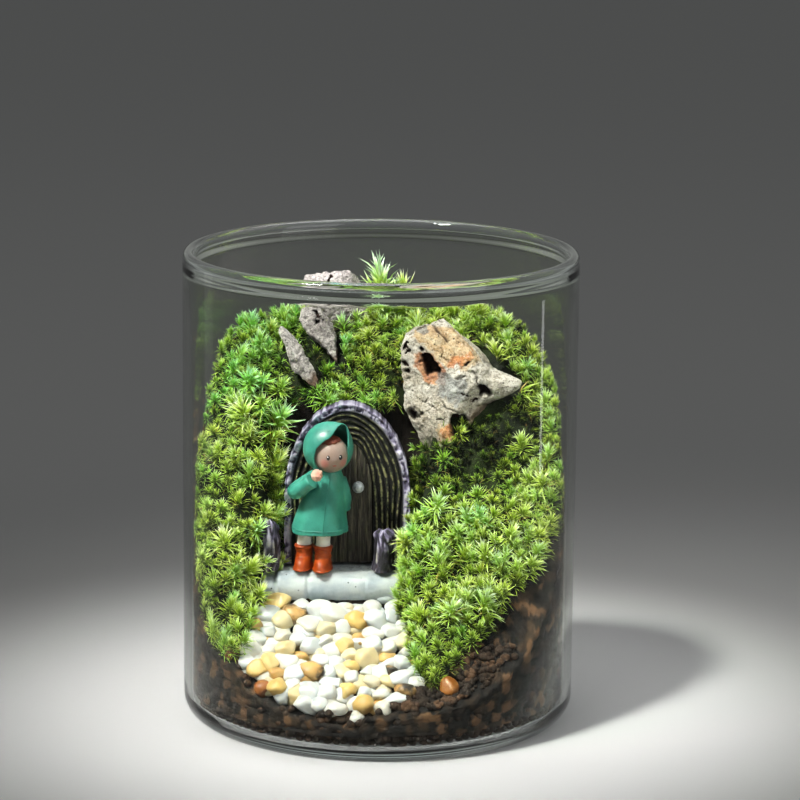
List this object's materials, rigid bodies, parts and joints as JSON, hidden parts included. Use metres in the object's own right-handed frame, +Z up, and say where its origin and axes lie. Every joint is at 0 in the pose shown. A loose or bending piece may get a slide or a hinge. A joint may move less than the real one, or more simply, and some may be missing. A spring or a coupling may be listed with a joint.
{
  "type": "glass plant terrarium",
  "caption": "Open glass jar planted as a moss garden: banked soil with moss cushions, weathered stones, a pebble slope, and a small door, step and figure.",
  "frame": {"origin": "middle of the jar's flat underside, on the surface it stands on", "axes": "+Z up along the jar's axis, -Y towards the front, where the pebble slope and the door face, +X to the right seen from the front"},
  "size_m": [0.1, 0.1, 0.12],
  "materials": {
    "glass": "polished",
    "clay_granules": "matte",
    "peat": "matte",
    "quartz": "satin",
    "amber_quartz": "satin",
    "rock": "matte",
    "white_resin": "satin",
    "bark_resin": "satin",
    "dark_resin": "satin",
    "silver_paint": "gloss",
    "coat_green": "satin",
    "skin": "satin",
    "hair": "satin",
    "white_tights": "satin",
    "boot_orange": "satin",
    "moss": "matte"
  },
  "bodies": {
    "root": {"glass_jar": "glass", "clay_granules": "clay_granules", "peat": "peat", "quartz_pebbles": "quartz", "amber_pebble_1": "amber_quartz", "amber_pebble_2": "amber_quartz", "amber_pebble_3": "amber_quartz", "stone_large": "rock", "stone_shard_upper": "rock", "stone_shard_lower": "rock", "stone_back": "rock", "door_step": "white_resin", "door_arch": "bark_resin", "door_leaf": "dark_resin", "door_knob": "silver_paint", "door_post_left": "bark_resin", "door_post_right": "bark_resin", "figure_coat": "coat_green", "figure_head": "skin", "figure_hair": "hair", "figure_hand": "skin", "figure_boot_left": "boot_orange", "figure_boot_right": "boot_orange", "figure_leg_left": "white_tights", "figure_leg_right": "white_tights", "moss_left_front": "moss", "moss_left_bank": "moss", "moss_left_crest": "moss", "moss_over_door": "moss", "moss_crown": "moss", "moss_back": "moss", "moss_back_right": "moss", "moss_right_crest": "moss", "moss_right_bank": "moss", "moss_right_front": "moss", "moss_beside_step": "moss"}
  },
  "joints": []
}
